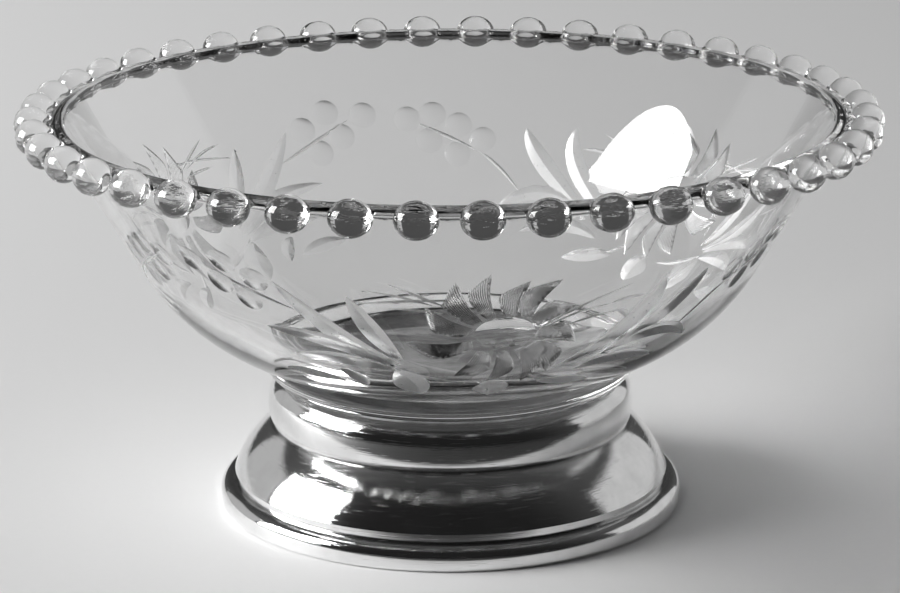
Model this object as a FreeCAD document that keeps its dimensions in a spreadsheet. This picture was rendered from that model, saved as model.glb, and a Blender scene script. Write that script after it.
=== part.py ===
import FreeCAD, Part
import math
import os
import re
import Sketcher
from FreeCAD import Placement, Rotation, Vector

# A small bowl of pressed glass, cemented into the collar of a spun silver foot.
# The origin is the centre of the ring that the foot stands on, and every piece is
# turned about +Z.
doc = FreeCAD.newDocument("MayonnaiseBowl")

# Driving sizes in millimetres and pieces. Each radius and height follows from its
# neighbour by an inset, a reach or a rise.
driving_sizes = {
    # silver foot, from the table up
    "foot_radius": 36.05,       # outside of the rim that the foot stands on
    "rim_face": 1.9,            # upright part of that rim
    "rim_shoulder": 2.0,        # radius of the rounding above it
    "rim_flat": 0.25,           # ledge between the rounding and the step
    "step_rise": 1.3,
    "dome_inset": 6.0,          # dome, from the step to the neck of the collar
    "dome_rise": 7.7,
    "dome_curve": 16.8,         # radius of its section
    "barrel_swell": 0.25,       # collar's bulging side, from the neck to the bevel
    "barrel_rise": 5.2,
    "barrel_curve": 7.4,
    "bevel_inset": 1.65,        # collar's bevel, up to the lip under the glass
    "bevel_rise": 1.9,
    "bevel_curve": 4.5,
    "sheet_thickness": 0.7,
    "hem_width": 2.35,          # hem turned in under the rim
    "cover_thickness": 0.7,
    "cover_play": 0.15,
    # glass bowl, from its base up
    "stub_play": 0.5,           # solid disc under the bowl, set in the collar
    "stub_depth": 3.8,
    "shoulder_gap": 0.2,        # glass shoulder above the collar's lip
    "shoulder_flat": 0.4,
    "shoulder_curve": 3.4,
    "edge_face": 0.5,           # upright face between the shoulder and the bowl's side
    "side_reach": 18.55,        # curved side, from its lower edge to the flare
    "side_rise": 15.0,
    "flare_reach": 11.35,       # from there to the inner edge of the rim
    "flare_rise": 23.0,
    "wall": 1.9,
    "floor_rise": 0.9,          # floor inside, above the lower edge of the side
    "inner_curve": 31.6,        # section of the side, inside
    "rim_land": 2.7,            # flat rim that carries the beads
    "rim_thickness": 1.5,
    "rim_rounding": 0.35,
    # glass beads round the rim
    "bead_reach": 1.9,          # bead centres outside the edge of the rim
    "bead_drop": 1.1,           # and below its top
    "bead_width": 6.4,          # along the rim
    "bead_size": 5.5,           # across the rim, and in height
    "bead_count": 44,
    # wheel-cut sprays round the side; rises are measured along it from its lower edge
    "spray_count": 3,
    "cut_depth": 0.45,
    "daisy_turn": 9.2,          # degrees to the right of the front
    "daisy_rise": 25.8,
    "dish_length": 8.2,         # hollow in the middle of the daisy
    "dish_width": 6.2,
    "petal_count": 12,
    "petal_ring": 7.6,          # from the middle of the daisy to the middle of a petal
    "petal_length": 7.8,
    "petal_width": 3.3,
    "blade_length": 14.5,       # long bent leaves, each cut in two strokes
    "blade_width": 3.2,
    "tip_length": 9.0,
    "tip_width": 2.8,
    "leaf_length": 15.0,
    "leaf_width": 2.7,
    "leaflet_length": 7.8,
    "leaflet_width": 4.4,
    "bud_width": 4.1,           # small round hollows on the sprigs
}
sheet = doc.addObject("Spreadsheet::Sheet", "Sizes")
for row, (alias, number) in enumerate(driving_sizes.items(), start=1):
    sheet.set("A%d" % row, alias.replace("_", " "))
    sheet.set("B%d" % row, str(number))
    sheet.setAlias("B%d" % row, alias)
doc.recompute()

# Radii and heights in the sheet's words.
RIM_HEIGHT = "rim_face + rim_shoulder"
STEP_RADIUS = "foot_radius - rim_shoulder - rim_flat"
STEP_HEIGHT = RIM_HEIGHT + " + step_rise"
NECK_RADIUS = STEP_RADIUS + " - dome_inset"
NECK_HEIGHT = STEP_HEIGHT + " + dome_rise"
BEVEL_RADIUS = NECK_RADIUS + " + barrel_swell"
BEVEL_HEIGHT = NECK_HEIGHT + " + barrel_rise"
LIP_RADIUS = BEVEL_RADIUS + " - bevel_inset"
LIP_HEIGHT = BEVEL_HEIGHT + " + bevel_rise"
INNER_RIM_RADIUS = "foot_radius - sheet_thickness"
COVER_TOP = "sheet_thickness + cover_thickness"
STUB_RADIUS = LIP_RADIUS + " - sheet_thickness - stub_play"
STUB_BASE = LIP_HEIGHT + " - stub_depth"
SHOULDER_RADIUS = STUB_RADIUS + " + shoulder_flat"
SHOULDER_BASE = LIP_HEIGHT + " + shoulder_gap"
EDGE_RADIUS = SHOULDER_RADIUS + " + shoulder_curve"
SHOULDER_TOP = SHOULDER_BASE + " + shoulder_curve"
EDGE_HEIGHT = SHOULDER_TOP + " + edge_face"
FLOOR_HEIGHT = EDGE_HEIGHT + " + floor_rise"
BEND_RADIUS = EDGE_RADIUS + " + side_reach"
BEND_HEIGHT = EDGE_HEIGHT + " + side_rise"
MOUTH_RADIUS = BEND_RADIUS + " + flare_reach"
GLASS_RIM_RADIUS = MOUTH_RADIUS + " + rim_land"
RIM_TOP = BEND_HEIGHT + " + flare_rise"
RIM_UNDERSIDE = RIM_TOP + " - rim_thickness"
BEAD_RING = GLASS_RIM_RADIUS + " + bead_reach"
BEAD_HEIGHT = RIM_TOP + " - bead_drop"
HALF_PITCH = "180 deg / bead_count"


def size(words):
    """What an expression in the sheet's words comes to."""
    return float(sheet.evalExpression(words))


def bound(words):
    """The same expression as other objects of the document read it."""
    return re.sub(r"\b(%s)\b" % "|".join(driving_sizes), r"Sizes.\1", words)


def origin_part(body, role):
    """An origin plane or axis of this body."""
    return next(part for part in body.Origin.OriginFeatures if part.Role == role)


def new_body(label):
    """An empty body whose label names its file."""
    body = doc.addObject("PartDesign::Body", label)
    body.Label = label
    body.Placement = Placement(Vector(0, 0, 0), Rotation())
    return body


def new_section(body, name):
    """A sketch in the plane of the axis: radius across, height up."""
    sketch = body.newObject("Sketcher::SketchObject", name)
    sketch.AttachmentSupport = [(origin_part(body, "XZ_Plane"), "")]
    sketch.MapMode = "FlatFace"
    return sketch


def set_size(sketch, constraint, words):
    """Adds a sized constraint and binds it to the sheet."""
    index = sketch.addConstraint(constraint)
    sketch.setExpression("Constraints[%d]" % index, bound(words))


def arc_centre(start, end, radius, side):
    """Centre of the short arc between two points: side 1 is left of the way, -1 right."""
    chord = end - start
    reach = math.sqrt(max(radius ** 2 - chord.Length ** 2 / 4, 0))
    left = Vector(-chord.y, chord.x, 0).normalize()
    return (start + end) / 2 + left * (reach * side)


def add_edge(sketch, start, end, bend=None):
    """Adds a line, or an arc (radius, side). Returns its number and its two ends' numbers.

    A radius in words of the sheet is bound to it, and a plain number only starts the solver.
    """
    if bend is None:
        return sketch.addGeometry(Part.LineSegment(start, end), False), 1, 2
    words, side = bend
    radius = words if isinstance(words, float) else size(words)
    centre = arc_centre(start, end, radius, side)
    first, last = (start, end) if side > 0 else (end, start)
    angles = [math.atan2(point.y - centre.y, point.x - centre.x) for point in (first, last)]
    circle = Part.Circle(centre, Vector(0, 0, 1), radius)
    number = sketch.addGeometry(Part.ArcOfCircle(circle, angles[0], angles[1]), False)
    if not isinstance(words, float):
        set_size(sketch, Sketcher.Constraint("Radius", number, radius), words)
    return (number, 1, 2) if side > 0 else (number, 2, 1)


def close_outline(sketch, corners, smooth=()):
    """Draws a closed outline through corners (radius, height, bend of the edge that follows).

    Radius and height are words of the sheet and become bound distances from the origin,
    or plain numbers, which only start the solver. At the corners named smooth, by their
    place in the list, the two edges are tangent. Returns the edges' numbers.
    """
    places = [Vector(*(part if isinstance(part, float) else size(part) for part in corner[:2]), 0)
              for corner in corners]
    edges = [add_edge(sketch, place, places[(index + 1) % len(places)], corners[index][2])
             for index, place in enumerate(places)]
    for index, (number, start, end) in enumerate(edges):
        after = (index + 1) % len(edges)
        joint = "Tangent" if after in smooth else "Coincident"
        following, next_start, _ = edges[after]
        sketch.addConstraint(Sketcher.Constraint(joint, number, end, following, next_start))
        radius, height = corners[index][:2]
        if radius == "0":
            sketch.addConstraint(Sketcher.Constraint("PointOnObject", number, start, -2))
        elif not isinstance(radius, float):
            place = Sketcher.Constraint("DistanceX", -1, 1, number, start, places[index].x)
            set_size(sketch, place, radius)
        if height == "0":
            sketch.addConstraint(Sketcher.Constraint("PointOnObject", number, start, -1))
        elif not isinstance(height, float):
            place = Sketcher.Constraint("DistanceY", -1, 1, number, start, places[index].y)
            set_size(sketch, place, height)
    return edges


def turn(body, sketch, name):
    """Turns a section once round the axis."""
    turned = body.newObject("PartDesign::Revolution", name)
    turned.Profile = (sketch, [""])
    turned.ReferenceAxis = (sketch, ["V_Axis"])
    turned.Angle = 360
    return turned


def foot_inside():
    """Inside of the sheet metal from the lip down to the rim, one sheet thickness in."""
    return [
        (LIP_RADIUS + " - sheet_thickness", LIP_HEIGHT, None),
        (BEVEL_RADIUS + " - sheet_thickness", BEVEL_HEIGHT, ("barrel_curve - sheet_thickness", -1)),
        (NECK_RADIUS + " - sheet_thickness", NECK_HEIGHT + " - sheet_thickness / 2", None),
        (NECK_RADIUS, NECK_HEIGHT + " - sheet_thickness", ("dome_curve - sheet_thickness", -1)),
        (STEP_RADIUS + " - sheet_thickness", STEP_HEIGHT, None),
        (STEP_RADIUS + " - sheet_thickness", RIM_HEIGHT + " - sheet_thickness", None),
        ("foot_radius - rim_shoulder", RIM_HEIGHT + " - sheet_thickness",
         ("rim_shoulder - sheet_thickness", -1)),
        (INNER_RIM_RADIUS, "rim_face", None),
    ]


def make_silver_foot():
    """Spun sheet: collar, dome, step, and a rim whose hem is turned in to hold the cover."""
    body = new_body("silver_foot")
    section = new_section(body, "FootSection")
    hem_radius = INNER_RIM_RADIUS + " - hem_width"
    outside = [
        (hem_radius, "0", None),
        (INNER_RIM_RADIUS, "0", ("sheet_thickness", 1)),
        ("foot_radius", "sheet_thickness", None),
        ("foot_radius", "rim_face", ("rim_shoulder", 1)),
        ("foot_radius - rim_shoulder", RIM_HEIGHT, None),
        (STEP_RADIUS, RIM_HEIGHT, None),
        (STEP_RADIUS, STEP_HEIGHT, ("dome_curve", 1)),
        (NECK_RADIUS, NECK_HEIGHT, ("barrel_curve", 1)),
        (BEVEL_RADIUS, BEVEL_HEIGHT, ("bevel_curve", 1)),
        (LIP_RADIUS, LIP_HEIGHT, None),
    ]
    hem = [
        (INNER_RIM_RADIUS, "sheet_thickness", None),
        (hem_radius, "sheet_thickness", None),
    ]
    close_outline(section, outside + foot_inside() + hem)
    turn(body, section, "SpunFoot")
    return body


def make_setting_plaster():
    """Plaster cast in the foot, which gives it weight and holds the glass stub."""
    body = new_body("setting_plaster")
    section = new_section(body, "PlasterSection")
    middle = [
        (INNER_RIM_RADIUS, COVER_TOP, None),
        ("0", COVER_TOP, None),
        ("0", STUB_BASE, None),
        (STUB_RADIUS, STUB_BASE, None),
        (STUB_RADIUS, LIP_HEIGHT, None),
    ]
    close_outline(section, foot_inside() + middle)
    turn(body, section, "CastPlaster")
    return body


def make_base_cover():
    """Thin disc that closes the underside, resting on the hem."""
    body = new_body("base_cover")
    section = new_section(body, "CoverSection")
    edge = INNER_RIM_RADIUS + " - cover_play"
    close_outline(section, [
        ("0", "sheet_thickness", None),
        (edge, "sheet_thickness", None),
        (edge, COVER_TOP, None),
        ("0", COVER_TOP, None),
    ])
    turn(body, section, "Cover")
    return body


class Flare:
    """Straight flare of the bowl: it leaves the bend and passes one wall outside the mouth."""

    def __init__(self):
        self.bend = Vector(size(BEND_RADIUS), size(BEND_HEIGHT), 0)
        self.mouth = Vector(size(MOUTH_RADIUS), size(RIM_TOP), 0)
        reach = self.mouth - self.bend
        self.angle = math.atan2(reach.y, reach.x) - math.asin(size("wall") / reach.Length)
        self.along = Vector(math.cos(self.angle), math.sin(self.angle), 0)
        self.inward = Vector(-self.along.y, self.along.x, 0)

    def rim_end(self):
        """Where the outer line meets the underside of the rim."""
        return self.bend + self.along * ((size(RIM_UNDERSIDE) - self.bend.y) / self.along.y)

    def side_radius(self):
        """Radius of the outer side: through its lower edge, and tangent to the flare at the bend."""
        edge = Vector(size(EDGE_RADIUS), size(EDGE_HEIGHT), 0) - self.bend
        return edge.Length ** 2 / (2 * (edge * self.inward))

    def inner_ends(self):
        """Ends of the inner curve, on the flare's inner line and on the floor."""
        curve = size("inner_curve")
        centre_height = size(FLOOR_HEIGHT) + curve
        drop = (self.mouth.y + self.inward.y * curve - centre_height) / self.along.y
        bend = self.mouth - self.along * drop
        return bend, Vector(bend.x + self.inward.x * curve, size(FLOOR_HEIGHT), 0)


class Side:
    """Outside of the bowl: an arc from its lower edge to the bend, then the straight flare."""

    def __init__(self, flare):
        self.flare = flare
        self.radius = flare.side_radius()
        self.centre = flare.bend + flare.inward * self.radius
        edge = Vector(size(EDGE_RADIUS), size(EDGE_HEIGHT), 0) - self.centre
        self.start = math.atan2(edge.y, edge.x)
        self.arc = self.radius * (flare.angle - math.pi / 2 - self.start)

    def point(self, turn, rise):
        """Point of the side at this turn (degrees) and rise, with its outward and upward directions."""
        slope = self.start + min(rise, self.arc) / self.radius
        out = Vector(math.cos(slope), math.sin(slope), 0)
        section = self.centre + out * self.radius + self.flare.along * max(rise - self.arc, 0)
        spin = Rotation(Vector(0, 0, 1), turn - 90).multiply(Rotation(Vector(1, 0, 0), 90))
        up = Vector(-out.y, out.x, 0)
        return [spin.multVec(vector) for vector in (section, out, up)]

    def bending(self, turn, rise, lean, length):
        """Mean curvature of the side along a cut that leans this many degrees from upright."""
        middle, out, up = self.point(turn, rise)
        swing = math.degrees(length / 2 * math.sin(math.radians(lean)) / math.hypot(middle.x, middle.y))
        lift = length / 2 * math.cos(math.radians(lean))
        first = self.point(turn - swing, rise - lift)[0]
        last = self.point(turn + swing, rise + lift)[0]
        return 8 * (middle - (first + last) / 2) * out / (last - first).Length ** 2


def hollow_bend(side, place, lean, width):
    """How much more a wheel bends than the side does, across a hollow as wide as these words say."""
    bend = side.bending(place[0], place[1], lean, size(width))
    return "(8 * cut_depth / %s ^ 2 - %.9f)" % (width, bend)


def ball_wheel(side, kind, place):
    """Ball that leaves a round hollow in the side, at this turn and rise."""
    point, out, up = side.point(*place)
    radius = "(1 / %s)" % hollow_bend(side, place, 0, kind + "_width")
    ball = doc.addObject("Part::Sphere", kind)
    ball.setExpression("Radius", bound(radius))
    ball.Placement = Placement(point + out * size(radius + " - cut_depth"), Rotation())
    return ball


def edge_wheel(side, kind, place):
    """Piece of a wheel's round edge that leaves a long hollow in the side.

    Its place is a turn, a rise and a lean to the right. For a short hollow the wheel rolls outside
    the glass, and for a long one it follows the bowl round.
    """
    turn, rise, lean = place
    point, out, up = side.point(turn, rise)
    along = up * math.cos(math.radians(lean)) + up.cross(out) * math.sin(math.radians(lean))
    endwise = "(1 / %s)" % hollow_bend(side, place, lean, kind + "_length")
    edge = "(1 / %s)" % hollow_bend(side, place, lean + 90, kind + "_width")
    ring = "abs(%s - %s)" % (endwise, edge)
    sweep = "(%s_length * 1.3 / %s * 180 / pi)" % (kind, ring)
    toward = out * math.copysign(1, -size(endwise))
    half = math.radians(size(sweep) / 2)
    first = toward * math.cos(half) - along * math.sin(half)
    axis = toward.cross(along)
    wheel = doc.addObject("Part::Torus", kind)
    wheel.setExpression("Radius1", bound(ring))
    wheel.setExpression("Radius2", bound(edge))
    wheel.setExpression("Angle3", bound(sweep))
    middle = point + out * size(endwise + " - cut_depth")
    wheel.Placement = Placement(middle, Rotation(first, axis.cross(first), axis, "ZXY"))
    return wheel


def daisy_petals(side):
    """Places of the petals, evenly round the middle of the daisy."""
    turn, rise, ring = size("daisy_turn"), size("daisy_rise"), size("petal_ring")
    middle = side.point(turn, rise)[0]
    radius = math.hypot(middle.x, middle.y)
    count = int(size("petal_count"))
    leans = [(number + 0.5) * 360 / count for number in range(count)]
    return [(turn + math.degrees(ring / radius * math.sin(math.radians(lean))),
             rise + ring * math.cos(math.radians(lean)), lean) for lean in leans]


def cut_sprays(glass, side):
    """Cuts a daisy between long leaves and two sprigs of buds, and repeats it round the bowl."""
    daisy_turn, daisy_rise = size("daisy_turn"), size("daisy_rise")
    # Turns in degrees from the front, rises as shares of the daisy's, and leans to the right.
    leaves = {
        "blade": [(-17.0, 0.93, -51), (-10.8, 0.89, -32), (27.0, 0.86, 47), (36.0, 0.93, 46)],
        "tip": [(-26.3, 1.20, -30), (-15.0, 1.155, -20), (34.4, 1.17, 14), (43.6, 1.21, 26)],
        "leaf": [(-22.0, 0.864, -72), (-20.0, 0.71, -84), (41.0, 0.76, 84)],
        "leaflet": [(-28.5, 0.53, -77), (-8.5, 0.52, 12), (8.0, 0.465, 0), (27.0, 0.59, 60)],
        "bud": [(-44.0, 1.395), (-37.0, 1.42), (-31.9, 1.32), (-39.5, 1.267), (-34.7, 1.17),
                (63.1, 1.372), (67.6, 1.353), (63.6, 1.20), (58.8, 1.124), (58.4, 1.298), (54.5, 1.20)],
    }
    cuts = {"dish": [(daisy_turn, daisy_rise, 90)], "petal": daisy_petals(side)}
    for kind, places in leaves.items():
        cuts[kind] = [(turn, share * daisy_rise, *lean) for turn, share, *lean in places]
    count = int(size("spray_count"))
    for kind, places in cuts.items():
        make_wheel = ball_wheel if kind == "bud" else edge_wheel
        wheels = doc.addObject("Part::Compound", kind + "_wheels")
        wheels.Links = [make_wheel(side, kind, (turn + number * 360 / count, *rest))
                        for turn, *rest in places for number in range(count)]
        cut = doc.addObject("Part::Cut", kind + "_cuts")
        cut.Base = glass
        cut.Tool = wheels
        glass = cut
    glass.Label = "glass_bowl"
    return glass


def make_glass_bowl():
    """Pressed glass in one piece: stub, flared bowl, flat rim and its ring of beads."""
    body = new_body("pressed_glass")
    section = new_section(body, "BowlSection")
    flare = Flare()
    rim_end = flare.rim_end()
    inner_bend, floor_edge = flare.inner_ends()
    rim_corner = GLASS_RIM_RADIUS + " - rim_rounding"
    edges = close_outline(section, [
        ("0", STUB_BASE, None),
        (STUB_RADIUS, STUB_BASE, None),
        (STUB_RADIUS, SHOULDER_BASE, None),
        (SHOULDER_RADIUS, SHOULDER_BASE, ("shoulder_curve", 1)),
        (EDGE_RADIUS, SHOULDER_TOP, None),
        (EDGE_RADIUS, EDGE_HEIGHT, (flare.side_radius(), 1)),
        (BEND_RADIUS, BEND_HEIGHT, None),
        (rim_end.x, RIM_UNDERSIDE, None),
        (rim_corner, RIM_UNDERSIDE, ("rim_rounding", 1)),
        (GLASS_RIM_RADIUS, RIM_UNDERSIDE + " + rim_rounding", None),
        (GLASS_RIM_RADIUS, RIM_TOP + " - rim_rounding", ("rim_rounding", 1)),
        (rim_corner, RIM_TOP, None),
        (MOUTH_RADIUS, RIM_TOP, None),
        (inner_bend.x, inner_bend.y, ("inner_curve", -1)),
        (floor_edge.x, FLOOR_HEIGHT, None),
        ("0", FLOOR_HEIGHT, None),
    ], smooth=(6, 13, 14))
    outer_line, inner_line = edges[6][0], edges[12][0]
    section.addConstraint(Sketcher.Constraint("Parallel", outer_line, inner_line))
    thickness = Sketcher.Constraint("Distance", inner_line, 1, outer_line, size("wall"))
    set_size(section, thickness, "wall")
    turn(body, section, "PressedBowl")

    bead = body.newObject("PartDesign::AdditiveEllipsoid", "Bead")
    bead.setExpression("Radius1", bound("bead_size / 2"))
    bead.setExpression("Radius2", bound("bead_size / 2"))
    bead.setExpression("Radius3", bound("bead_width / 2"))
    bead.Placement = Placement(Vector(0, 0, 0), Rotation(Vector(0, 0, 1), 1))
    bead.setExpression(".Placement.Base.x", bound("(%s) * cos(%s)" % (BEAD_RING, HALF_PITCH)))
    bead.setExpression(".Placement.Base.y", bound("(%s) * sin(%s)" % (BEAD_RING, HALF_PITCH)))
    bead.setExpression(".Placement.Base.z", bound(BEAD_HEIGHT))
    bead.setExpression(".Placement.Rotation.Angle", bound(HALF_PITCH))
    ring = body.newObject("PartDesign::PolarPattern", "BeadRing")
    ring.Originals = [bead]
    ring.Axis = (origin_part(body, "Z_Axis"), [""])
    ring.Angle = 360
    ring.setExpression("Occurrences", bound("bead_count"))
    body.Tip = ring
    return cut_sprays(body, Side(flare))


pieces = [make_glass_bowl(), make_silver_foot(), make_setting_plaster(), make_base_cover()]
doc.recompute()

for item in doc.Objects:
    if "Invalid" in item.State or "Error" in item.State:
        raise RuntimeError("%s did not build" % item.Label)
os.makedirs("parts", exist_ok=True)
for piece in pieces:
    shape = piece.Shape
    if shape.isNull() or not shape.isValid():
        raise RuntimeError("%s has no valid solid" % piece.Label)
    shape.exportStep("parts/%s.step" % piece.Label)
    print("%s: %d solid, %.0f mm3, box %s" % (
        piece.Label, len(shape.Solids), shape.Volume, shape.BoundBox))
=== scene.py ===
import math
import bpy
import numpy as np
from mathutils import Matrix, Vector
from mathutils.geometry import delaunay_2d_cdt


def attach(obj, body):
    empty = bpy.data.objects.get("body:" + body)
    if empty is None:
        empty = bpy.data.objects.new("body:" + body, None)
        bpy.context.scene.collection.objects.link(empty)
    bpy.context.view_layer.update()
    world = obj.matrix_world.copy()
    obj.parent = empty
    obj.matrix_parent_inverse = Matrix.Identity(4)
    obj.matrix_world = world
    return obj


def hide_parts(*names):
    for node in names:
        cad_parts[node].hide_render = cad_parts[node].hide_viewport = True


# A pressed-glass sauce bowl with a beaded rim and wheel-cut sprays, on a spun silver foot.
# Sizes are in millimetres until a mesh is made, and azimuth 0 is the front (-Y), growing to the right.
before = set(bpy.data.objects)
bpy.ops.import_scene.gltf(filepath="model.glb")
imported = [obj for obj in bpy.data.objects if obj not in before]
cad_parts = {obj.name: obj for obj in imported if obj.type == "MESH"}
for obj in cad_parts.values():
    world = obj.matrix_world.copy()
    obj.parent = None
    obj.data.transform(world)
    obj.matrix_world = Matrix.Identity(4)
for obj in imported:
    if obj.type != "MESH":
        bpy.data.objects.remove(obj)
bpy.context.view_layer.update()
metre = 0.001

# Mesh helpers. A patch is (points, faces, normals at the face corners, material numbers);
# a piece is made of patches that meet edge to edge.
front = -90.0                                        # direction of azimuth 0
weld = {"step": 1e-4, "shift": 0.37}                 # points in the same cell of this grid become one
tiny = 1e-9


def turned(angles, radii, heights):
    # Points at these azimuths (degrees), radii and heights: x = r cos a, y = r sin a, z = height.
    a = np.radians(np.asarray(angles, float) + front)
    r, h = np.broadcast_arrays(np.asarray(radii, float), np.asarray(heights, float))
    a, r, h = np.broadcast_arrays(a, r, h)
    return np.stack([r * np.cos(a), r * np.sin(a), h], -1)


def lathePatch(outline, columns):
    # Turns an outline round the axis: row i and column j are the outline's point i at the azimuth
    # 360 j / columns. Each row is (radius, height, normal out, normal up), and the outline runs so
    # that the air is on its right. A row on the axis closes into a fan.
    rows = np.asarray(outline, float)
    angles = np.arange(columns) * 360 / columns
    points = turned(angles[None, :], rows[:, 0:1], rows[:, 1:2]).reshape(-1, 3)
    normals = turned(angles[None, :], rows[:, 2:3], rows[:, 3:4])
    j = np.arange(columns)
    k = (j + 1) % columns
    faces, corners = [], []
    for row in range(len(rows) - 1):
        low, high = row * columns, (row + 1) * columns
        quad = np.stack([low + j, low + k, high + k, high + j], -1)
        shade = np.stack([normals[row, j], normals[row, k], normals[row + 1, k], normals[row + 1, j]], 1)
        if rows[row, 0] == 0:
            quad, shade = quad[:, [0, 2, 3]], shade[:, [0, 2, 3]]
            quad[:, 0] = low
        elif rows[row + 1, 0] == 0:
            quad, shade = quad[:, [0, 1, 2]], shade[:, [0, 1, 2]]
            quad[:, 2] = high
        faces.append(quad)
        corners.append(shade)
    return points, faces, corners, [np.zeros(len(f), int) for f in faces]


def lathePatches(runs, columns):
    # One patch for each run, so that the corners between runs stay sharp.
    return [lathePatch(run, columns) for run in runs]


def arcRows(centre, radius, start, end, steps, sign=1):
    # Rows along an arc, centre + radius (cos a, sin a), angles in degrees. The normal points away
    # from the centre, or to it with the sign -1.
    a = np.radians(np.linspace(start, end, steps + 1))
    c, s = np.cos(a), np.sin(a)
    return np.stack([centre[0] + radius * c, centre[1] + radius * s, sign * c, sign * s], -1)


def lineRows(start, end, steps=1):
    # Rows along a straight run, start + t (end - start): the normal is the run turned to the right.
    start, end = np.asarray(start, float), np.asarray(end, float)
    t = np.linspace(0, 1, steps + 1)[:, None]
    along = (end - start) / np.linalg.norm(end - start)
    normal = np.array([along[1], -along[0]])
    return np.hstack([start + t * (end - start), np.repeat(normal[None], steps + 1, 0)])


def makePiece(name, patches, materials):
    # Welds the patches where their points meet, and keeps each patch's own corner normals.
    offsets = np.cumsum([0] + [len(p[0]) for p in patches])
    points = np.concatenate([p[0] for p in patches])
    keys = np.round(points / weld["step"] + weld["shift"]).astype(np.int64)
    _, first, merged = np.unique(keys, axis=0, return_index=True, return_inverse=True)
    merged = merged.ravel()
    loops, sizes, shade, slots = [], [], [], []
    for offset, (_, faces, corners, numbers) in zip(offsets, patches):
        for f, c, m in zip(faces, corners, numbers):
            f = merged[f + offset]
            whole = (np.diff(np.sort(f, axis=1), axis=1) > 0).all(1)   # slivers close up when welded
            loops.append(f[whole].ravel())
            sizes.append(np.full(whole.sum(), f.shape[1]))
            shade.append(np.asarray(c, float)[whole].reshape(-1, 3))
            slots.append(m[whole])
    loops, sizes = np.concatenate(loops), np.concatenate(sizes)
    shade, slots = np.concatenate(shade), np.concatenate(slots)
    mesh = bpy.data.meshes.new(name)
    mesh.vertices.add(len(first))
    mesh.vertices.foreach_set("co", (points[first] * metre).ravel())
    mesh.loops.add(len(loops))
    mesh.loops.foreach_set("vertex_index", loops)
    mesh.polygons.add(len(sizes))
    mesh.polygons.foreach_set("loop_start", np.cumsum(sizes) - sizes)
    mesh.polygons.foreach_set("loop_total", sizes)
    mesh.polygons.foreach_set("material_index", slots)
    mesh.polygons.foreach_set("use_smooth", np.ones(len(sizes), bool))
    for material in materials:
        mesh.materials.append(material)
    mesh.update(calc_edges=True)
    shade /= np.linalg.norm(shade, axis=1, keepdims=True)
    mesh.normals_split_custom_set(shade.tolist())
    piece = bpy.data.objects.new(name, mesh)
    bpy.context.scene.collection.objects.link(piece)
    print("%s: %d points, %d triangles" % (name, len(first), (sizes - 2).sum()))
    return piece


# Glass bowl: heights are above the table, radii from the axis
bowl = {
    "stubRadius": 25.18, "stubBase": 16.22,          # solid disc under the bowl, a hair clear of the plaster
    "shoulderRadius": 25.6, "shoulderBase": 20.2, "shoulderCurve": 3.4,
    "edgeRadius": 29.0, "edgeHeight": 24.1,          # lower edge of the side
    "bendRadius": 47.55, "bendHeight": 39.1,         # where the side runs into the flare
    "mouthRadius": 58.9, "rimTop": 62.1, "mouthRounding": 1.0,
    "wall": 1.9, "floorHeight": 25.0, "innerCurve": 31.6,
    "rimRadius": 61.6, "rimThickness": 1.5, "rimRounding": 0.6,
    "rimFillet": 0.7,                                # softness of the corner between flare and rim
    "flareStop": 0.8,                                # the flare's face ends this far under the rim's top
    "cellFoot": 1.2,                                 # length of flare that belongs to the rim's cells
    "columns": 396,                                  # divides by 3 sprays and by 44 beads
    "lipSteps": 6, "flareSteps": 10, "insideSteps": 24, "floorSteps": 4,
    "baseSteps": 3, "stubSteps": 2, "shoulderSteps": 8,
}
beads = {
    "count": 44, "ring": 63.5, "height": 61.0,       # where the beads' middles are
    "width": 6.4, "size": 5.5,
    "neckFillet": 0.55,                              # softness where a bead leaves the rim
    "neckTilts": (1.6, 3.05), "halvings": 40,        # search for the neck, in radians from the pole
    "capRings": 11, "capShare": 0.93, "capEasing": 0.9,   # rings over the bead, nearly to its neck
    "neckRings": 7, "neckEasing": 1.35,              # rings from the neck to the cell's border
    "cornerShares": (0.75, 0.6),                     # steps over the corner, as shares of the foot
    "pathSteps": 24, "roundSteps": 12, "topSteps": 30,   # of the rim's outline
}

mouth = np.array([bowl["mouthRadius"], bowl["rimTop"]])
bend = np.array([bowl["bendRadius"], bowl["bendHeight"]])
edge = np.array([bowl["edgeRadius"], bowl["edgeHeight"]])
reach = mouth - bend
flareAngle = math.atan2(reach[1], reach[0]) - math.asin(bowl["wall"] / np.linalg.norm(reach))
along = np.array([math.cos(flareAngle), math.sin(flareAngle)])
inward = np.array([-along[1], along[0]])
sideRadius = float((edge - bend) @ (edge - bend) / (2 * ((edge - bend) @ inward)))
sideCentre = bend + inward * sideRadius
sideStart = math.atan2(*(edge - sideCentre)[::-1])
sideEnd = math.atan2(*(bend - sideCentre)[::-1])
sideLength = sideRadius * (sideEnd - sideStart)
rimUnderside = bowl["rimTop"] - bowl["rimThickness"]
flareLength = (rimUnderside - bend[1]) / along[1]
sideTop = sideLength + flareLength - bowl["cellFoot"]   # where the rim's cells take over


def sideRow(s):
    # Outside of the bowl at the arc length s above its lower edge: a circular arc, then a straight flare.
    s = np.asarray(s, float)
    a = sideStart + np.minimum(s, sideLength) / sideRadius
    d = np.maximum(s - sideLength, 0)
    radius = sideCentre[0] + sideRadius * np.cos(a) + d * along[0]
    height = sideCentre[1] + sideRadius * np.sin(a) + d * along[1]
    return radius, height, np.cos(a), np.sin(a)


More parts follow.
